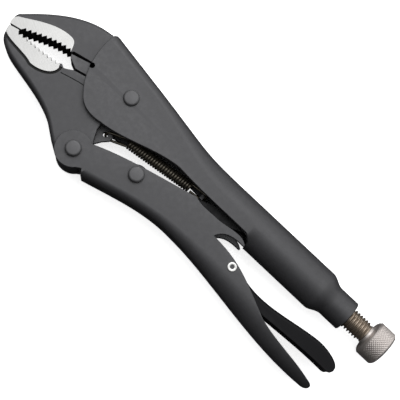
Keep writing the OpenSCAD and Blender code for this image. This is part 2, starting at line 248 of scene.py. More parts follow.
def arc(centre, radius, start, end, steps):
    """Points of an arc round a centre, angles in degrees."""
    out = []
    for i in range(steps + 1):
        angle = math.radians(start + (end - start) * i / steps)
        out.append((centre[0] + radius * math.cos(angle), centre[1] + radius * math.sin(angle)))
    return out


def polar(radius, angle):
    return (radius * math.cos(math.radians(angle)), radius * math.sin(math.radians(angle)))


def teeth(points, count, depth, shift=0.0):
    """Crests and valleys of a row of teeth along a curve."""
    line = curve(points, 2 * count, last=True)
    return [(x, y + shift + (depth if i % 2 else 0)) for i, (x, y) in enumerate(line)]


def height_at(curves, x):
    """Height of a chain of curves at x, by walking along them."""
    line = []
    for c in curves:
        line += curve(c, 24)
    line.append(curves[-1][3])
    if x <= line[0][0]:
        return line[0][1]
    for (x0, y0), (x1, y1) in zip(line, line[1:]):
        if x <= x1:
            return y0 + (y1 - y0) * (x - x0) / max(x1 - x0, 1e-6)
    return line[-1][1]


def smooth(low, high, x):
    t = min(max((x - low) / (high - low), 0.0), 1.0)
    return t * t * (3 - 2 * t)


def mix(a, b, t):
    return a + (b - a) * t


# ---------------------------------------------------------------- mesh helpers


def prism(points, low, high):
    """A flat plate of the given outline between two heights, in millimetres from the middle plane."""
    bm = bmesh.new()
    face = bm.faces.new([bm.verts.new((x, y, low)) for x, y in points])
    grown = bmesh.ops.extrude_face_region(bm, geom=[face])["geom"]
    bmesh.ops.translate(bm, vec=(0, 0, high - low),
                        verts=[g for g in grown if isinstance(g, bmesh.types.BMVert)])
    bmesh.ops.recalc_face_normals(bm, faces=bm.faces)
    return bm


def pillar(centre, radius, half, segments=48):
    """A round plug across the tool."""
    bm = bmesh.new()
    bmesh.ops.create_cone(bm, cap_ends=True, segments=segments, radius1=radius, radius2=radius,
                          depth=2 * half)
    bmesh.ops.translate(bm, vec=(centre[0], centre[1], 0), verts=bm.verts)
    return bm


def sheet_strip(stations, columns, place):
    """A grid bent into a strip of sheet metal: place(row, column) gives each point."""
    bm = bmesh.new()
    bmesh.ops.create_grid(bm, x_segments=stations, y_segments=columns, size=1)
    for v in bm.verts:
        row = round((v.co.x + 1) / 2 * stations)
        column = round((v.co.y + 1) / 2 * columns)
        v.co = place(row, column)
    bmesh.ops.remove_doubles(bm, verts=bm.verts, dist=0.01)
    bmesh.ops.recalc_face_normals(bm, faces=bm.faces)
    return bm


def folded(xs, parts, point):
    """A strip through point(x, side, part), from one lower edge over the back to the other."""
    columns = [(-1, p) for p in reversed(parts)] + [(1, p) for p in parts[1:]]
    return sheet_strip(len(xs) - 1, len(columns) - 1, lambda row, column: point(xs[row], *columns[column]))


def round_edges(bm, offset, segments=2, angle=32, pick=None, weld=0.003):
    """Rounds the sharp edges that pick accepts."""
    bmesh.ops.remove_doubles(bm, verts=bm.verts, dist=weld)
    bmesh.ops.dissolve_degenerate(bm, edges=bm.edges, dist=0.01)
    sharp = [
        e for e in bm.edges
        if len(e.link_faces) == 2 and e.calc_face_angle(0) > math.radians(angle)
        and e.calc_length() > 0.02 and (pick is None or pick(e))
    ]
    if sharp:
        before = BVHTree.FromBMesh(bm)
        bmesh.ops.bevel(bm, geom=sharp, offset=offset, offset_type="OFFSET", segments=segments, profile=0.5,
                        affect="EDGES", material=-1, clamp_overlap=False, loop_slide=True)
        for v in bm.verts:
            near, normal, index, gap = before.find_nearest(v.co)
            if gap > offset * 0.6:
                v.co = near


def merged(*parts):
    """Several closed shells as one bmesh."""
    bm = bmesh.new()
    for part in parts:
        mesh = bpy.data.meshes.new("part")
        part.to_mesh(mesh)
        part.free()
        bm.from_mesh(mesh)
        bpy.data.meshes.remove(mesh)
    return bm


def draft(name, bm):
    """A throwaway object, still in millimetres."""
    mesh = bpy.data.meshes.new(name)
    bm.to_mesh(mesh)
    bm.free()
    obj = bpy.data.objects.new(name, mesh)
    bpy.context.scene.collection.objects.link(obj)
    return obj


def drop(obj):
    mesh = obj.data
    bpy.data.objects.remove(obj)
    bpy.data.meshes.remove(mesh)


def carved(bm, cuts, wall=0.0, wall_at=None):
    """The shape after an optional wall and a list of (operation, tool) cuts."""
    obj = draft("carved", bm)
    if wall:
        group = obj.vertex_groups.new(name="wall")
        for v in obj.data.vertices:
            group.add([v.index], (wall_at(v.co) if wall_at else wall) / wall, "REPLACE")
        solid = obj.modifiers.new("wall", "SOLIDIFY")
        solid.thickness = wall
        solid.offset = -1
        solid.vertex_group = "wall"
    tools = []
    for operation, tool in cuts:
        helper = draft("tool", tool)
        tools.append(helper)
        step = obj.modifiers.new("cut", "BOOLEAN")
        step.operation = operation
        step.solver = "MANIFOLD"
        step.object = helper
    bpy.context.view_layer.update()
    graph = bpy.context.evaluated_depsgraph_get()
    result = bmesh.new()
    result.from_mesh(obj.evaluated_get(graph).to_mesh())
    for helper in tools:
        drop(helper)
    drop(obj)
    bmesh.ops.remove_doubles(result, verts=result.verts, dist=0.003)
    bmesh.ops.dissolve_limit(result, angle_limit=math.radians(0.05), use_dissolve_boundaries=False,
                             verts=result.verts, edges=result.edges, delimit={"MATERIAL"})
    return result


def finish(name, bm, body, node, materials, smooth_angle=34):
    """Turns a shape in millimetres about the middle plane into a finished piece on its body."""
    bmesh.ops.transform(bm, matrix=Matrix.Scale(MM, 4) @ Matrix.Translation((0, 0, MID_Z)), verts=bm.verts)
    limit = math.radians(smooth_angle)
    for face in bm.faces:
        face.smooth = True
    for edge in bm.edges:
        edge.smooth = len(edge.link_faces) == 2 and edge.calc_face_angle(0) < limit
    mesh = bpy.data.meshes.new(name)
    bm.to_mesh(mesh)
    bm.free()
    for material in materials:
        mesh.materials.append(material)
    obj = bpy.data.objects.new(name, mesh)
    bpy.context.scene.collection.objects.link(obj)
    even = obj.modifiers.new("Even Shading", "WEIGHTED_NORMAL")
    even.keep_sharp = True
    even.weight = 80
    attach(obj, body)
    if node:
        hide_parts(node)
    return obj


def turned(profile, axis_at, segments=64, along_x=False):
    """A spun profile of (radius, height) pairs round a line across or along the tool."""
    bm = bmesh.new()
    verts = [bm.verts.new((r, 0, h)) for r, h in profile]
    edges = [bm.edges.new(pair) for pair in zip(verts, verts[1:])]
    bmesh.ops.spin(bm, geom=verts + edges, cent=(0, 0, 0), axis=(0, 0, 1), angle=math.tau, steps=segments,
                   use_merge=True)
    bmesh.ops.remove_doubles(bm, verts=bm.verts, dist=0.003)
    if along_x:
        bmesh.ops.rotate(bm, cent=(0, 0, 0), matrix=Matrix.Rotation(math.pi / 2, 3, "Y"), verts=bm.verts)
        bmesh.ops.translate(bm, vec=(0, axis_at, 0), verts=bm.verts)
    else:
        bmesh.ops.translate(bm, vec=(axis_at[0], axis_at[1], 0), verts=bm.verts)
    bmesh.ops.recalc_face_normals(bm, faces=bm.faces)
    return bm


# ---------------------------------------------------------------- shader groups


def add(tree, kind, **values):
    node = tree.nodes.new(kind)
    for key, value in values.items():
        setattr(node, key, value)
    return node


def new_group(name, inputs, outputs):
    tree = bpy.data.node_groups.new(name, "ShaderNodeTree")
    for socket, kind, value in inputs:
        item = tree.interface.new_socket(socket, in_out="INPUT", socket_type=kind)
        if value is not None:
            item.default_value = value
    for socket, kind in outputs:
        tree.interface.new_socket(socket, in_out="OUTPUT", socket_type=kind)
    return tree, add(tree, "NodeGroupInput"), add(tree, "NodeGroupOutput")


def noise_node(tree, scale, detail=3.0, roughness=0.5):
    node = add(tree, "ShaderNodeTexNoise")
    node.inputs["Scale"].default_value = scale
    node.inputs["Detail"].default_value = detail
    node.inputs["Roughness"].default_value = roughness
    return node


def ramp(tree, low, high):
    node = add(tree, "ShaderNodeMapRange", clamp=True)
    node.inputs["From Min"].default_value = low
    node.inputs["From Max"].default_value = high
    return node


def maths(tree, operation, a, b=None):
    node = add(tree, "ShaderNodeMath", operation=operation)
    for slot, value in zip(node.inputs, (a, b)):
        if value is None:
            continue
        if isinstance(value, bpy.types.NodeSocket):
            tree.links.new(value, slot)
        else:
            slot.default_value = value
    return node.outputs[0]


def varied_by(tree, base, noise, amount):
    """The base value, moved up and down by the noise's distance from its middle."""
    swing = maths(tree, "MULTIPLY", maths(tree, "SUBTRACT", noise.outputs["Fac"], 0.5), amount)
    return maths(tree, "ADD", base, swing)


def colour_mix(tree, factor, a, b, blend="MIX"):
    node = add(tree, "ShaderNodeMix", data_type="RGBA", blend_type=blend)
    for slot, value in zip((node.inputs[0], node.inputs[6], node.inputs[7]), (factor, a, b)):
        if isinstance(value, bpy.types.NodeSocket):
            tree.links.new(value, slot)
        else:
            slot.default_value = value
    return node.outputs[2]


def coating_group():
    """Blasted and coated steel: mottled colour, edges lightened as rubbed wear and painted highlight, fine
    grain and varied roughness.
    """
    tree, given, out = new_group(
        "coated_steel",
        [("Colour", "NodeSocketColor", (0.1, 0.1, 0.1, 1)),
         ("Rubbed_and_highlight", "NodeSocketColor", (0.2, 0.2, 0.2, 1)),
         ("Roughness", "NodeSocketFloat", 0.45), ("Wear_and_highlight", "NodeSocketFloat", 0.6)],
        [("Colour", "NodeSocketColor"), ("Roughness", "NodeSocketFloat"), ("Height", "NodeSocketFloat")])
    links = tree.links
    place = add(tree, "ShaderNodeTexCoord").outputs["Object"]
    cloud = noise_node(tree, 95, 4, 0.6)
    patch = noise_node(tree, 420, 3, 0.6)
    grain = noise_node(tree, 2600, 2, 0.6)
    pit = noise_node(tree, 900, 2, 0.5)
    for node in (cloud, patch, grain, pit):
        links.new(place, node.inputs["Vector"])
    shade = ramp(tree, 0.3, 0.7)
    shade.inputs["To Min"].default_value = 0.95
    shade.inputs["To Max"].default_value = 1.05
    links.new(cloud.outputs["Fac"], shade.inputs["Value"])
    fine = ramp(tree, 0.3, 0.7)
    fine.inputs["To Min"].default_value = 0.93
    fine.inputs["To Max"].default_value = 1.07
    links.new(patch.outputs["Fac"], fine.inputs["Value"])
    level = maths(tree, "MULTIPLY", shade.outputs[0], fine.outputs[0])
    grey = add(tree, "ShaderNodeCombineColor")
    for slot in grey.inputs:
        links.new(level, slot)
    toned = colour_mix(tree, 1.0, given.outputs["Colour"], grey.outputs[0], "MULTIPLY")
    # Pointiness edge mask: lightens the edges as rubbed wear and as a painted highlight, and makes them
    # less rough.
    edge = ramp(tree, 0.515, 0.60)
    links.new(add(tree, "ShaderNodeNewGeometry").outputs["Pointiness"], edge.inputs["Value"])
    broken = ramp(tree, 0.42, 0.62)
    links.new(patch.outputs["Fac"], broken.inputs["Value"])
    patchy = maths(tree, "ADD", maths(tree, "MULTIPLY", broken.outputs[0], 0.6), 0.4)
    worn_and_highlit = maths(tree, "MULTIPLY", maths(tree, "MULTIPLY", edge.outputs[0], patchy), given.outputs["Wear_and_highlight"])
    links.new(colour_mix(tree, worn_and_highlit, toned, given.outputs["Rubbed_and_highlight"]), out.inputs["Colour"])
    varied = varied_by(tree, given.outputs["Roughness"], cloud, 0.08)
    varied = varied_by(tree, varied, grain, 0.10)
    links.new(maths(tree, "SUBTRACT", varied, maths(tree, "MULTIPLY", worn_and_highlit, 0.12)), out.inputs["Roughness"])
    links.new(maths(tree, "ADD", maths(tree, "MULTIPLY", grain.outputs["Fac"], 0.6),
                    maths(tree, "MULTIPLY", pit.outputs["Fac"], 0.4)), out.inputs["Height"])
    return tree


def ground_group():
    """Ground or plated metal: fine marks along one direction, faint smudges and varied roughness."""
    tree, given, out = new_group(
        "ground_metal",
        [("Colour", "NodeSocketColor", (0.8, 0.8, 0.8, 1)), ("Roughness", "NodeSocketFloat", 0.3),
         ("Marks", "NodeSocketFloat", 0.5), ("Stretch", "NodeSocketVector", (1.0, 1.0, 1.0)),
         ("Turn", "NodeSocketVector", (0.0, 0.0, 0.0))],
        [("Colour", "NodeSocketColor"), ("Roughness", "NodeSocketFloat"), ("Height", "NodeSocketFloat")])
    links = tree.links
    place = add(tree, "ShaderNodeTexCoord").outputs["Object"]
    turn = add(tree, "ShaderNodeMapping")
    links.new(place, turn.inputs["Vector"])
    links.new(given.outputs["Turn"], turn.inputs["Rotation"])
    stretch = add(tree, "ShaderNodeVectorMath", operation="MULTIPLY")
    links.new(turn.outputs[0], stretch.inputs[0])
    links.new(given.outputs["Stretch"], stretch.inputs[1])
    marks = noise_node(tree, 900, 3, 0.65)
    links.new(stretch.outputs[0], marks.inputs["Vector"])
    smudge = noise_node(tree, 140, 3, 0.55)
    links.new(place, smudge.inputs["Vector"])
    level = varied_by(tree, 1.0, marks, maths(tree, "MULTIPLY", given.outputs["Marks"], 0.5))
    level = varied_by(tree, level, smudge, 0.16)
    grey = add(tree, "ShaderNodeCombineColor")
    for slot in grey.inputs:
        links.new(level, slot)
    links.new(colour_mix(tree, 1.0, given.outputs["Colour"], grey.outputs[0], "MULTIPLY"),
              out.inputs["Colour"])
    varied = varied_by(tree, given.outputs["Roughness"], smudge, 0.2)
    varied = varied_by(tree, varied, marks, maths(tree, "MULTIPLY", given.outputs["Marks"], 0.3))
    links.new(varied, out.inputs["Roughness"])
    links.new(marks.outputs["Fac"], out.inputs["Height"])
    return tree


def group_named(name, build):
    return bpy.data.node_groups.get(name) or build()


def metal(name, group, values, metallic, bump, gloss=0.5):
    """A metal whose colour, roughness and grain come from a group, with its own values."""
    material = bpy.data.materials.get(name)
    if material:
        return material
    material = bpy.data.materials.new(name)
    material.use_nodes = True
    tree = material.node_tree
    shader = tree.nodes["Principled BSDF"]
    shader.inputs["Metallic"].default_value = metallic
    shader.inputs["Specular IOR Level"].default_value = gloss
    pattern = add(tree, "ShaderNodeGroup")
    pattern.node_tree = group
    for key, value in values.items():
        pattern.inputs[key].default_value = value
    tree.links.new(pattern.outputs["Colour"], shader.inputs["Base Color"])
    tree.links.new(pattern.outputs["Roughness"], shader.inputs["Roughness"])
    relief = add(tree, "ShaderNodeBump")
    relief.inputs["Strength"].default_value = bump
    relief.inputs["Distance"].default_value = 0.00004
    tree.links.new(pattern.outputs["Height"], relief.inputs["Height"])
    tree.links.new(relief.outputs["Normal"], shader.inputs["Normal"])
    return material


def rgba(colour):
    return (*colour, 1.0)


def coating(finish_of, name="gunmetal_coating", colour=None, roughness=None, wear_and_highlight=0.55, metallic=0.35,
            gloss=0.5):
    return metal(
        name, group_named("coated_steel", coating_group),
        {"Colour": rgba(colour or finish_of.coat), "Rubbed_and_highlight": rgba(finish_of.coat_rubbed_and_highlight),
         "Roughness": roughness or finish_of.coat_roughness, "Wear_and_highlight": wear_and_highlight},
        metallic=metallic, bump=0.35, gloss=gloss)


def ground(finish_of):
    return metal(
        "ground_steel", group_named("ground_metal", ground_group),
        {"Colour": rgba(finish_of.ground), "Roughness": 0.36, "Marks": 1.1, "Stretch": (0.25, 2.2, 1.0),
         "Turn": (0, 0, 0.45)},
        metallic=0.85, bump=0.3)


# Near-black painted shade for groove floors and shadowed tooth flanks.
def groove_shade_finish(finish_of):
    return coating(finish_of, "painted_groove_shade", finish_of.slot, 0.6, 0.0)


def plating(finish_of, name="satin_nickel", colour=None, roughness=0.42, marks=0.3, metallic=0.78):
    return metal(
        name, group_named("ground_metal", ground_group),
        {"Colour": rgba(colour or finish_of.nickel), "Roughness": roughness, "Marks": marks,
         "Stretch": (2.0, 0.5, 0.5)},
        metallic=metallic, bump=0.15)


# ---------------------------------------------------------------- pieces


def handle_top(x):
    """Height of the fixed handle's back."""
    slope = 17.84 - 0.15945 * (x + 28)
    level = SCREW_Y + TUBE_R
    return math.log(math.exp((slope - level) * 1.6) + 1) / 1.6 + level if slope - level < 12 else slope


def handle_point(x, side, part):
    """A point of the fixed handle's outer skin: side is -1 or 1, part runs from back to edge."""
    to_neck = smooth(117.2, 124.2, x)
    half = mix(HANDLE_HALF, NECK_R, to_neck)
    tall = mix(TUBE_R, NECK_R, to_neck)
    tube = smooth(76.5, 81.5, x)
    wide = min(mix(4.4, HANDLE_HALF, smooth(6, 62, x)), half)
    high = min(mix(4.4, TUBE_R, smooth(6, 62, x)), tall)
    top = handle_top(x) if x < 100 else SCREW_Y + tall
    if part < 1:
        return (x, top, side * (half - wide) * part)
    if part < 2:
        angle = (part - 1) * math.pi / 2
        return (x, top - high + high * math.cos(angle), side * (half - wide + wide * math.sin(angle)))
    down = part - 2
    foot = mix(-22, SCREW_Y - TUBE_R, smooth(58, 70, x))
    leg = (top - high + (foot - top + high) * down, half)
    angle = down * math.pi / 2
    ring = (SCREW_Y - tall * math.sin(angle), max(half * math.cos(angle), 0.12))
    return (x, mix(leg[0], ring[0], tube), side * mix(leg[1], ring[1], tube))


def handle_outline():
    return (
        [(-22.8, 17.05), (-24.2, 16.7)] + curve(FRONT_EDGE, 22) + curve(NOSE_EDGE,
                                                                        16) + curve(BELLY_EDGE, 24)
        + curve(CHANNEL_EDGE, 14) + curve(CHANNEL_END, 8) + [(80, -11.4), (80.6, -17), (140, -17),
                                                             (140, 30), (-22.8, 30)])


class PLIERS_OT_fixed_handle(Operator):
    """Build the folded fixed handle with its tube, neck and spring tab"""

    bl_idname = "pliers.fixed_handle"
    bl_label = "Fixed Handle"

    def execute(self, context):
        shape, look = context.scene.pliers_shape, context.scene.pliers_finish
        xs = [-28 + 2 * i for i in range(52)] + [77 + 0.5 * i for i in range(10)]
        xs += [83 + 3 * i for i in range(10)] + [113 + 0.6 * i for i in range(20)]
        xs += [126, 129, 131, TUBE_END]
        xs = sorted(set(round(x, 3) for x in xs))
        parts = [0, 0.5] + [1 + i / 9 for i in range(9)] + [2 + i / 12 for i in range(13)]
        skin = folded(xs, parts, handle_point)
        centre = Vector((40, 0, 0))
        upper = [f for f in skin.faces if f.calc_center_median().y > 0]
        if sum((f.calc_center_median() - centre).dot(f.normal) for f in upper) < 0:
            bmesh.ops.reverse_faces(skin, faces=skin.faces)

        def wall_at(co):
            return mix(shape.handle_sheet, 1.75, smooth(115, 121, co.x))

        bm = carved(skin, [("INTERSECT", prism(handle_outline(), -20, 20)),
                           ("DIFFERENCE", pillar((-22.4, -1.2), 0.95, 12))], shape.handle_sheet, wall_at)
        round_edges(bm, shape.edge_round, 3, weld=0.05)
        tab = prism([(51, -10.2), (52.6, -10.2), (52.6, 3.4), (51, 3.4)], -1.4, 1.4)
        round_edges(tab, 0.2)
        bm = merged(bm, tab)
        finish("Fixed_Handle", bm, "frame", "fixed_handle", [coating(look)])
        return {"FINISHED"}


def neck_sector(start, end):
    """The tongue's neck, where it leaves its round eye for the lower jaw."""
    return [MAIN_PIN] + arc(MAIN_PIN, NECK_REACH, start, end, 16)


def upper_outline(shape, back):
    bite = teeth(UPPER_BITE, shape.tooth_count, shape.tooth_depth, back)
    return (
        curve(UPPER_TIP, 8) + curve(UPPER_BACK, 26, last=True)
        + [(-24.9, 15.4), (-24, 14.6), (16, 8.1), (16, -3.2)]
        + arc(MAIN_PIN, EAR_R, -16, PARTING - 360, 48)
        + [polar(28, PARTING), (-32.2, -4.7), (-33, -3.2)]
        + [(-24.1, -0.55), (-23.7, -0.35), (-24.1, 0.35), (-33, -1.76)]
        + list(reversed(bite)) + [(-56.6, -10.95 + back), (-61.7, -12.2 + back)])


class PLIERS_OT_upper_jaw(Operator):
    """Build the forged upper jaw with its ground toothed land and cutter slot"""

    bl_idname = "pliers.upper_jaw"
    bl_label = "Upper Jaw"

    def execute(self, context):
        shape, look = context.scene.pliers_shape, context.scene.pliers_finish
        face = JAW_HALF - shape.land_step
        core = carved(prism(upper_outline(shape, 0.25), -face, face), [
            ("DIFFERENCE", pillar(MAIN_PIN, TONGUE_R + 0.3, TONGUE_HALF + 0.25, 96)),
            ("DIFFERENCE", prism(neck_sector(PARTING + 0.8, 304), -TONGUE_HALF - 0.25,
                                 TONGUE_HALF + 0.25))])
        backs = upper_back_points()

        def outer(edge):
            middle = (edge.verts[0].co + edge.verts[1].co) / 2
            flat = abs(edge.verts[0].co.z - edge.verts[1].co.z) < 0.01
            return flat and any((middle.xy - Vector(p)).length < 1.2 for p in backs)

        round_edges(core, shape.forged_round, 5, 20, outer)
        round_edges(core, 0.12, 1, 60, lambda e: abs(e.verts[0].co.z - e.verts[1].co.z) < 0.01)
        edge = teeth(UPPER_BITE, shape.tooth_count, shape.tooth_depth)
        land = prism(
            list(reversed(edge)) + [(-56.6, -10.85)] + curve(UPPER_LAND_TIP, 8)
            + curve(UPPER_LAND, 20) + curve(UPPER_LAND_END, 10, last=True),
            -JAW_HALF, JAW_HALF)
        round_edges(land, 0.14, 2, 25, lambda e: abs(e.verts[0].co.z - e.verts[1].co.z) < 0.01)
        # Tooth flanks near the bite and tip get the near-black painted shade.
        face_land(land, [(-61.6, -12.1), (-60, -11.7), (-58.3, -11.3)] + curve(UPPER_BITE, 20, last=True))
        finish("Upper_Jaw", merged(core, land), "frame", "upper_jaw",
               [coating(look), ground(look), groove_shade_finish(look)])
        return {"FINISHED"}


def face_land(land, shaded_points):
    """Ground steel on a land, with the tooth flanks near some given points painted near black as shade."""
    for f in land.faces:
        centre = f.calc_center_median()
        shaded_flank = abs(f.normal.z) < 0.3 and any((centre.xy - Vector(p)).length < 1.6 for p in shaded_points)
        f.material_index = 2 if shaded_flank else 1


def ribbon(points, width):
    """An open line widened to one side of its run, for cutting grooves."""
    side = []
    for i, p in enumerate(points):
        a, b = Vector(points[max(i - 1, 0)]), Vector(points[min(i + 1, len(points) - 1)])
        run = (b - a).normalized()
        side.append((p[0] + run.y * width, p[1] - run.x * width))
    return list(points) + list(reversed(side))


def grooved(bm, lines, face, depth):
    """Cuts grooves along (line, width) pairs into a jaw's two faces, with their floors painted near black
    as shade.
    """
    cuts = []
    for line, width in lines:
        for side in (-1, 1):
            low, high = sorted((side * (face - depth), side * (face + 2)))
            cuts.append(("DIFFERENCE", prism(ribbon(line, width), low, high)))
    cut = carved(bm, cuts)
    for f in cut.faces:
        centre = f.calc_center_median()
        if abs(abs(centre.z) - (face - depth)) < 0.02 and abs(f.normal.z) > 0.9:
            f.material_index = 2
    return cut


def upper_back_points():
    return curve(UPPER_TIP, 8) + curve(UPPER_BACK, 40) + [(-61.7, -12)]


def lower_outline(shape, back):
    return (
        [(-61.5, -12.7 - back), (-56.6, -11.45 - back)]
        + teeth(LOWER_BITE, shape.tooth_count, -shape.tooth_depth, -back)
        + [(-32.8, -9.3), (-31.1, -10.2), (-30, -9.7), polar(28.2, PARTING + 1.9)]
        + arc(MAIN_PIN, EAR_R + 0.15, PARTING + 3.4, 256, 20)
        + [(-1.6, -19.8), (0.9, -24.8)] + arc(JAW_PIN, BOSS_R, 52, -136, 28)
        + list(reversed(curve(LOWER_HEEL, 10))) + list(reversed(curve(LOWER_BELLY, 12)))
        + list(reversed(curve(LOWER_TIP, 12))))


class PLIERS_OT_lower_jaw(Operator):
    """Build the forged lower jaw with its ground land, tongue, boss and spring lug"""

    bl_idname = "pliers.lower_jaw"
    bl_label = "Lower Jaw"

    def execute(self, context):
        shape, look = context.scene.pliers_shape, context.scene.pliers_finish
        face = JAW_HALF - shape.land_step
        core = prism(lower_outline(shape, 0.25), -face, face)
        backs = curve(LOWER_HEEL, 40) + curve(LOWER_BELLY, 40) + curve(LOWER_TIP, 24) + [(-61.4, -13.4)]

        def outer(edge):
            middle = (edge.verts[0].co + edge.verts[1].co) / 2
            flat = abs(edge.verts[0].co.z - edge.verts[1].co.z) < 0.01
            return flat and any((middle.xy - Vector(p)).length < 1.0 for p in backs)

        round_edges(core, shape.forged_round, 5, 20, outer)
        round_edges(core, 0.12, 1, 60, lambda e: abs(e.verts[0].co.z - e.verts[1].co.z) < 0.01)
        land = prism(
            [(-61.5, -12.7), (-56.6, -11.45)] + teeth(LOWER_BITE, shape.tooth_count, -shape.tooth_depth)
            + list(reversed(curve(LOWER_LAND_HEEL, 14))) + list(reversed(curve(LOWER_LAND, 14)))
            + [(-61.1, -14.4)], -JAW_HALF, JAW_HALF)
        round_edges(land, 0.14, 2, 25, lambda e: abs(e.verts[0].co.z - e.verts[1].co.z) < 0.01)
        face_land(land, [])
        rim = curve(LOWER_LAND, 14) + curve(LOWER_LAND_HEEL, 14, last=True)
        cutter = [(-30.6, -12.4), (-26.5, -11.2), (-21.5, -9.9), (-16, -9.0)]
        # The groove round the land and the cutter line get floors painted near black as shade.
        core = grooved(core, [(rim, 1.15), (cutter, 0.4)], face, 0.7)
        lug = prism([(-8, -14), (-2, -11), (3.6, -15.4), (5.4, -17.4), (5.2, -19.2), (3, -21.6),
                     (0.6, -25.6),
                     (-8, -25)], -LUG_HALF, LUG_HALF)
        lug = carved(lug, [("DIFFERENCE", pillar(LUG_HOLE, 1.2, 4))])
        round_edges(lug, 0.2, 2)
        tongue = carved(pillar(MAIN_PIN, TONGUE_R, TONGUE_HALF, 96), [
            ("UNION", prism(neck_sector(197, 252), -TONGUE_HALF, TONGUE_HALF))])
        finish("Lower_Jaw", merged(core, land, lug, tongue), "moving_jaw", "lower_jaw",
               [coating(look), ground(look), groove_shade_finish(look)])
        return {"FINISHED"}


def lever_floor(x):
    """Height of the lever's web, dropping away where its front is open and rising at its tail."""
    if x < 7.7:
        return -39.8 - 14 * smooth(7.7, 4.2, x)
    low = height_at((LEVER_FRONT, LEVER_REAR), x)
    return low + 2.2 * tail_curl(x)


def tail_curl(x):
    """How far the tail's end has curled in, from 0 to 1."""
    t = min(max((x - 138.4) / 3.5, 0.0), 1.0)
    return 1 - math.sqrt(1 - t * t)


def lever_point(x, side, part):
    half = LEVER_HALF - 3.4 * tail_curl(x)
    wide = min(mix(3.2, 7.8, smooth(45, 112, x)), half - 0.4)
    high = mix(3.6, 10.5, smooth(35, 112, x))
    low = lever_floor(x)
    if part < 1:
        return (x, low, side * (half - wide) * part)
    if part < 2:
        angle = (part - 1) * math.pi / 2
        return (x, low + high - high * math.cos(angle), side * (half - wide + wide * math.sin(angle)))
    return (x, mix(low + high, 5, part - 2), side * half)


def lever_outline():
    return (
        arc(JAW_PIN, EAR_LEVER_R, 60, 320, 48) + [(5.9, -37.3)] + [
            (7.7, -39.8), (7.9, -45), (150, -45), (150, -38), (141.9, -37.9), (141.75, -37.4),
            (141.3, -36.95),
            (140.4, -36.6)]
        + list(reversed(curve(TAIL_END_RIM, 14))) + list(reversed(curve(TAIL_RIM, 18)))
        + list(reversed(curve(BEAK_UNDER, 12))) + [(79.7, -13.6), (79.9, -13.2), (79.7, -12.8)]
        + list(reversed(curve(BEAK_TOP, 12))) + list(reversed(curve(LEVER_STEP, 12)))
        + list(reversed(curve(LEVER_RIM, 20))))


class PLIERS_OT_operating_lever(Operator):
    """Build the operating lever, a folded trough with open ears at the jaw"""

    bl_idname = "pliers.operating_lever"
    bl_label = "Operating Lever"

    def execute(self, context):
        shape, look = context.scene.pliers_shape, context.scene.pliers_finish
        xs = [-14, -6, 0, 4.2, 4.9, 5.6, 6.3, 7,
              7.7] + [8.6 + 2.2 * i for i in range(57)] + [134.4, 136, 137.5, 138.8, 139.8,
                                                                            140.6, 141.2, 141.6, 141.9]
        xs = sorted(set(x for x in xs if x <= 141.9))
        parts = [0, 0.5] + [1 + i / 12 for i in range(12)] + [2, 2.5, 3]
        skin = folded(xs, parts, lever_point)
        roof = [f for f in skin.faces
                if f.calc_center_median().x > 20 and abs(f.calc_center_median().z) < 3]
        if sum(f.normal.y for f in roof) > 0:
            bmesh.ops.reverse_faces(skin, faces=skin.faces)
        bm = carved(skin, [("INTERSECT", prism(lever_outline(), -20, 20))], shape.lever_sheet)
        round_edges(bm, shape.edge_round, 3, weld=0.05)
        finish("Operating_Lever", bm, "lever", "operating_lever", [coating(look)])
        return {"FINISHED"}


def release_roof(x):
    front = [(56, -17), (61, -17.2), (66, -20.4), (78, -21.6), (86, -21.7), (92.1, -23.4)]
    if x < 92.1:
        for (x0, y0), (x1, y1) in zip(front, front[1:]):
            if x <= x1:
                return y0 + (y1 - y0) * max(x - x0, 0) / (x1 - x0)
    return height_at((RELEASE_TOP, RELEASE_TIP), x)


def release_point(x, side, part):
    half = RELEASE_HALF
    corner = 1.9
    roof = release_roof(x)
    if part < 1:
        return (x, roof, side * (half - corner) * part)
    if part < 2:
        angle = (part - 1) * math.pi / 2
        return (x, roof - corner + corner * math.cos(angle),
                side * (half - corner + corner * math.sin(angle)))
    return (x, mix(roof - corner, -48, part - 2), side * half)


def release_outline():
    return (
        [(57, -10), (130, -10), (131.9, -20)] + curve(RELEASE_TIP, 18) + curve(RELEASE_END, 8)
        + curve(RELEASE_UNDER, 14)
        + [(106.5, -29.4), (95, -28.9), (82, -27.4), (66, -25.4), (57.6, -22.4), (56.4, -19), (56.4, -12)])


class PLIERS_OT_release_lever(Operator):
    """Build the dished release lever"""

    bl_idname = "pliers.release_lever"
    bl_label = "Release Lever"

    def execute(self, context):
        shape, look = context.scene.pliers_shape, context.scene.pliers_finish
        xs = [55.5 + 1.8 * i for i in range(47)] + [140, 141.2, 142.2, 142.9, 143.4, 143.8, 144.1, 144.3]
        xs = sorted(set(xs))
        parts = [0, 0.5] + [1 + i / 8 for i in range(8)] + [2, 2.35, 2.7, 3]
        skin = folded(xs, parts, release_point)
        if sum(f.normal.y for f in skin.faces if abs(f.calc_center_median().z) < 1) < 0:
            bmesh.ops.reverse_faces(skin, faces=skin.faces)
        bm = carved(skin, [("INTERSECT", prism(release_outline(), -20, 20))], shape.release_sheet)
        round_edges(bm, shape.edge_round * 0.9, 3, weld=0.05)
        # Dark coating: black finish darkened further as painted shade.
        finish("Release_Lever", bm, "release", "release_lever",
               [coating(look, "dark_coating_shaded", look.dark_coat_and_shade, 0.46, 0.12, 0.1, 0.1)])
        return {"FINISHED"}


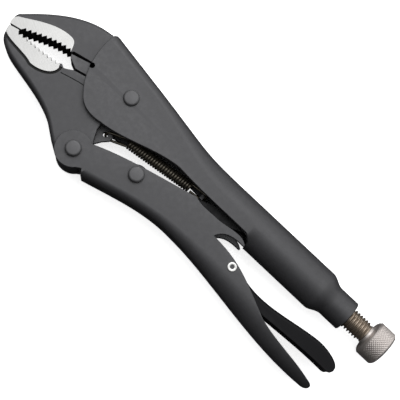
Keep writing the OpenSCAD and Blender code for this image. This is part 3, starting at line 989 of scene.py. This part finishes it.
def button_profile(shank, seat):
    """Half of a rivet with a rounded low head at each end."""
    rim = HEAD_TOP - seat
    soft = min(1.0, rim * 0.75)
    head = [(HEAD_R, seat)] + [
        (HEAD_R - soft + soft * math.cos(a), HEAD_TOP - 0.12 - soft + soft * math.sin(a))
        for a in (math.radians(10 * i) for i in range(10))] + [(HEAD_R * 0.35, HEAD_TOP - 0.03),
                                                               (0, HEAD_TOP)]
    lower = [(r, -h) for r, h in head]
    return list(reversed(lower)) + [(shank, -seat), (shank, seat)] + head


class PLIERS_OT_rivets(Operator):
    """Build the three button-headed rivets and the hollow rivet"""

    bl_idname = "pliers.rivets"
    bl_label = "Rivets"

    def execute(self, context):
        look = context.scene.pliers_finish
        for name, node, body, pin, seat in (
                ("Main_Rivet", "main_rivet", "frame", MAIN_PIN, HANDLE_HALF - 0.05),
                ("Jaw_Rivet", "jaw_rivet", "moving_jaw", JAW_PIN, LEVER_HALF + 0.02),
                ("Link_Rivet", "link_rivet", "lever", LINK_PIN, LEVER_HALF - 0.05)):
            bm = turned(button_profile(2.5, seat), pin, 56)
            finish(name, bm, body, node, [coating(look, "rivet_coating", look.rivet)])
        rim = LEVER_HALF + 0.5
        half = [(1.35, 0), (1.35, LEVER_HALF), (2.05, LEVER_HALF), (2.05, rim - 0.18), (1.98, rim - 0.05),
                (1.85, rim), (1.3, rim - 0.02), (1.0, rim - 0.12), (0.85, rim - 0.4), (0.8, rim - 0.8)]
        loop = [(0.8, -rim + 0.8)] + [(r, -h) for r, h in reversed(half)][1:-1] + half + [(0.8, -rim + 0.8)]
        bm = turned(loop, RELEASE_PIN, 48)
        finish("Release_Rivet", bm, "lever", "release_rivet",
               [plating(look, "bright_plating", (0.62, 0.62, 0.61), 0.3, 0.2)])
        return {"FINISHED"}


class PLIERS_OT_screw(Operator):
    """Build the adjusting screw with its helical thread, and the knurled knob"""

    bl_idname = "pliers.screw"
    bl_label = "Screw and Knob"

    def execute(self, context):
        shape, look = context.scene.pliers_shape, context.scene.pliers_finish
        start, end, crest = 104.0, 144.8, 4.97
        rows, around = 220, 48

        def thread(row, column):
            x = mix(start, end, row / rows)
            angle = math.tau * column / around
            phase = (x / shape.thread_pitch - column / around) % 1
            ridge = min(max(1.35 - abs(phase - 0.5) * 4.2, 0.0), 1.0)
            fade = 1 - smooth(143.1, 144.3, x)
            radius = crest - shape.thread_depth * (1 - ridge * fade)
            return (x, SCREW_Y + radius * math.cos(angle), radius * math.sin(angle))

        skin = sheet_strip(rows, around, thread)
        bmesh.ops.holes_fill(skin, edges=[e for e in skin.edges if e.is_boundary], sides=0)
        bmesh.ops.recalc_face_normals(skin, faces=skin.faces)
        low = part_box("adjusting_screw")[0].x / MM
        rod = turned([(0, low), (2.9, low), (3.2, low + 0.3), (4.4, low + 2), (4.4, start + 0.5),
                      (0, start + 0.5)],
                     SCREW_Y, 48, True)
        tenon = turned([(0, end - 0.4), (3.0, end - 0.4), (3.0, 151), (0, 151)], SCREW_Y, 32, True)
        finish("Adjusting_Screw", merged(skin, rod, tenon), "screw", "adjusting_screw",
               [plating(look, "oiled_nickel", look.thread, 0.34, 0.4)], 50)

        grip_low, grip_high = 147.5, KNOB_END - 0.95
        flare = [(4.5, 144.9), (4.5, 145.4), (4.62, 145.9), (4.95, 146.25), (5.5, 146.45), (6.4, 146.5)]
        rows_at = [(3.05, 144.9)] + flare + [(KNOB_R - 1.15, 146.5), (KNOB_R - 0.95, 146.55),
                                             (KNOB_R - 0.5, 146.95), (KNOB_R - 0.28, grip_low - 0.2)]
        steps = 46
        rows_at += [(KNOB_R, mix(grip_low, grip_high, i / steps)) for i in range(steps + 1)]
        rows_at += [(KNOB_R - 0.28, grip_high + 0.2), (KNOB_R - 0.5, KNOB_END - 0.45),
                    (KNOB_R - 0.95, KNOB_END - 0.05),
                    (KNOB_R - 1.2, KNOB_END), (5.6, KNOB_END), (5.4, KNOB_END - 0.12),
                    (2.2, KNOB_END - 0.12),
                    (1.0, KNOB_END - 0.12), (0.0, KNOB_END - 0.12)]
        around = shape.knurl_count * 8
        pitch = math.tau * KNOB_R / shape.knurl_count

        def knob(row, column):
            radius, x = rows_at[row]
            angle = math.tau * column / around
            if grip_low <= x <= grip_high:
                a = (angle * KNOB_R / pitch + (x - grip_low) / pitch) % 1
                b = (angle * KNOB_R / pitch - (x - grip_low) / pitch) % 1
                groove = max(1 - min(a, 1 - a) * 4.2, 1 - min(b, 1 - b) * 4.2, 0)
                radius -= shape.knurl_depth * groove
            return (x, SCREW_Y + radius * math.cos(angle), radius * math.sin(angle))

        bm = sheet_strip(len(rows_at) - 1, around, knob)
        bmesh.ops.recalc_face_normals(bm, faces=bm.faces)
        finish("Knurled_Knob", bm, "knob", "knurled_knob", [plating(look)], 60)
        return {"FINISHED"}


def along(start, end, points):
    """Points given along a line in the middle plane, moved to where it starts."""
    heading = (Vector(end) - Vector(start)).normalized()
    return [Vector((start[0] + heading.x * x - heading.y * y, start[1] + heading.y * x + heading.x * y, z))
            for x, y, z in points]


def hook_path(leg, reach):
    """A hook round an anchor: its short leg comes back by reach, its long leg runs on to the coil."""
    bend = [(COIL_R + COIL_R * math.cos(a), COIL_R * math.sin(a))
            for a in (math.radians(270 - 15 * i) for i in range(13))]
    flat = [(COIL_R + reach, -COIL_R), (COIL_R + reach / 2, -COIL_R)] + bend + [
        (mix(COIL_R, leg, 0.5), COIL_R), (leg - 0.9, COIL_R)]
    lean_y, lean_z = math.sin(HOOK_LEAN), math.cos(HOOK_LEAN)
    return [(x, r * lean_y, r * lean_z) for x, r in flat]


class PLIERS_OT_spring(Operator):
    """Build the wound tension spring with its two hooks"""

    bl_idname = "pliers.spring"
    bl_label = "Spring"

    def execute(self, context):
        look = context.scene.pliers_finish
        run = (Vector(COIL_END) - Vector(COIL_START)).length
        steps = 20
        coil = []
        for i in range(COILS * steps + 1):
            turn = math.tau * i / steps + HOOK_LEAN
            coil.append((run * i / steps / COILS, COIL_R * math.sin(turn), COIL_R * math.cos(turn)))
        lead = (Vector(COIL_START) - Vector(LUG_HOLE)).length
        trail = (Vector(COIL_END) - Vector(REAR_ANCHOR)).length
        rear = [(x, -y, z) for x, y, z in hook_path(trail, 5.6)]
        path = (along(LUG_HOLE, COIL_START, hook_path(lead, 8.2)) + along(COIL_START, COIL_END, coil)
                + list(reversed(along(REAR_ANCHOR, COIL_END, rear))))
        wire = bpy.data.curves.new("wire", "CURVE")
        wire.dimensions = "3D"
        wire.bevel_depth = WIRE_R
        wire.bevel_resolution = 2
        wire.use_fill_caps = True
        spline = wire.splines.new("POLY")
        spline.points.add(len(path) - 1)
        for point, co in zip(spline.points, path):
            point.co = (*co, 1)
        helper = bpy.data.objects.new("wire", wire)
        context.scene.collection.objects.link(helper)
        context.view_layer.update()
        bm = bmesh.new()
        bm.from_mesh(helper.evaluated_get(context.evaluated_depsgraph_get()).to_mesh())
        bpy.data.objects.remove(helper)
        bpy.data.curves.remove(wire)
        bmesh.ops.remove_doubles(bm, verts=bm.verts, dist=0.004)
        bmesh.ops.recalc_face_normals(bm, faces=bm.faces)
        spring = finish("Tension_Spring", bm, "frame", "tension_spring",
                        [plating(look, "oiled_wire", look.wire, 0.32, 0.4)], 80)
        spring.parent = None
        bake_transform(spring)
        return {"FINISHED"}


class PLIERS_OT_link(Operator):
    """Give the link between lever and screw its dark finish, darkened further as painted shade"""

    bl_idname = "pliers.link"
    bl_label = "Link"

    def execute(self, context):
        look = context.scene.pliers_finish
        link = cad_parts["toggle_link"]
        link.data.materials.clear()
        link.data.materials.append(coating(look, "dark_coating_shaded", look.dark_coat_and_shade, 0.46, 0.12, 0.1, 0.1))
        return {"FINISHED"}


# ---------------------------------------------------------------- stage


def area_light(name, place, target, size, power):
    data = bpy.data.lights.new(name, "AREA")
    data.shape = "RECTANGLE"
    data.size, data.size_y = size
    data.energy = power
    lamp = bpy.data.objects.new(name, data)
    bpy.context.scene.collection.objects.link(lamp)
    lamp.location = place
    lamp.rotation_euler = (Vector(target) - Vector(place)).to_track_quat("-Z", "Y").to_euler()


class PLIERS_OT_stage(Operator):
    """Lay the pale floor and set the lights and the camera"""

    bl_idname = "pliers.stage"
    bl_label = "Stage"

    def execute(self, context):
        scene, look = context.scene, context.scene.pliers_finish
        low, high = CAD_BOX
        bm = bmesh.new()
        bmesh.ops.create_grid(bm, x_segments=1, y_segments=1, size=3)
        bmesh.ops.translate(bm, vec=(0, 0, low[2] - 0.0002), verts=bm.verts)
        mesh = bpy.data.meshes.new("Floor")
        bm.to_mesh(mesh)
        bm.free()
        floor = bpy.data.objects.new("Floor", mesh)
        scene.collection.objects.link(floor)
        material = bpy.data.materials.new("pale_floor")
        material.use_nodes = True
        tree = material.node_tree
        shader = tree.nodes["Principled BSDF"]
        shader.inputs["Base Color"].default_value = rgba(look.floor)
        shader.inputs["Roughness"].default_value = 0.9
        shader.inputs["Specular IOR Level"].default_value = 0.1
        shader.inputs["Emission Color"].default_value = (1, 1, 1, 1)
        shader.inputs["Emission Strength"].default_value = 0.75
        dim = add(tree, "ShaderNodeBsdfDiffuse")
        dim.inputs["Color"].default_value = (0.05, 0.05, 0.05, 1)
        seen = add(tree, "ShaderNodeLightPath")
        pick = add(tree, "ShaderNodeMixShader")
        tree.links.new(seen.outputs["Is Camera Ray"], pick.inputs[0])
        tree.links.new(dim.outputs[0], pick.inputs[1])
        tree.links.new(shader.outputs[0], pick.inputs[2])
        tree.links.new(pick.outputs[0], tree.nodes["Material Output"].inputs["Surface"])
        mesh.materials.append(material)

        scene.view_settings.view_transform = "Standard"
        world = bpy.data.worlds.new("studio")
        scene.world = world
        world.use_nodes = True
        tree = world.node_tree
        facing = add(tree, "ShaderNodeVectorMath", operation="DOT_PRODUCT")
        facing.inputs[1].default_value = (-0.16, 0.68, 0.72)
        tree.links.new(add(tree, "ShaderNodeTexCoord").outputs["Generated"], facing.inputs[0])
        glow = ramp(tree, 0.02, 0.80)
        glow.interpolation_type = "SMOOTHSTEP"
        glow.inputs["To Min"].default_value = 0.02
        glow.inputs["To Max"].default_value = 1.2
        tree.links.new(facing.outputs["Value"], glow.inputs["Value"])
        tree.links.new(glow.outputs[0], tree.nodes["Background"].inputs["Strength"])
        tree.nodes["Background"].inputs["Color"].default_value = (1, 1, 1, 1)
        area_light("Key", (-0.04, 0.20, 0.45), (0.0, 0.0, MID_Z * MM), (0.35, 0.35), 0.8)

        camera = bpy.data.cameras.new("Camera")
        camera.sensor_width = 36
        camera.lens = 88.0
        eye = bpy.data.objects.new("Camera", camera)
        scene.collection.objects.link(eye)
        place = Vector((66.66, -85.44, 424 + MID_Z)) * MM
        target = Vector((51.93, -10.38, MID_Z)) * MM
        up = Vector((math.cos(math.radians(133.03)), math.sin(math.radians(133.03)), 0))
        back = (place - target).normalized()
        right = up.cross(back).normalized()
        top = back.cross(right)
        turn = Matrix((right, top, back)).transposed().to_4x4()
        eye.matrix_world = Matrix.Translation(place) @ turn
        scene.camera = eye
        return {"FINISHED"}


PIECES = (
    PLIERS_OT_fixed_handle, PLIERS_OT_upper_jaw, PLIERS_OT_lower_jaw, PLIERS_OT_operating_lever,
    PLIERS_OT_release_lever, PLIERS_OT_rivets, PLIERS_OT_screw, PLIERS_OT_spring, PLIERS_OT_link,
    PLIERS_OT_stage)


class PLIERS_PT_panel(Panel):
    """Builds the pieces one by one"""

    bl_idname = "PLIERS_PT_panel"
    bl_label = "Locking Pliers"
    bl_space_type = "VIEW_3D"
    bl_region_type = "UI"
    bl_category = "Pliers"

    def draw(self, context):
        for owner in (context.scene.pliers_shape, context.scene.pliers_finish):
            for key in owner.__annotations__:
                self.layout.prop(owner, key)
        for piece in PIECES:
            self.layout.operator(piece.bl_idname)


CLASSES = (PliersShape, PliersFinish, *PIECES, PLIERS_PT_panel)


def register():
    for item in CLASSES:
        bpy.utils.register_class(item)
    bpy.types.Scene.pliers_shape = PointerProperty(type=PliersShape)
    bpy.types.Scene.pliers_finish = PointerProperty(type=PliersFinish)


def unregister():
    del bpy.types.Scene.pliers_finish
    del bpy.types.Scene.pliers_shape
    for item in reversed(CLASSES):
        bpy.utils.unregister_class(item)


def main():
    register()
    for piece in PIECES:
        group, name = piece.bl_idname.split(".")
        getattr(getattr(bpy.ops, group), name)()


if __name__ == "__main__":
    main()
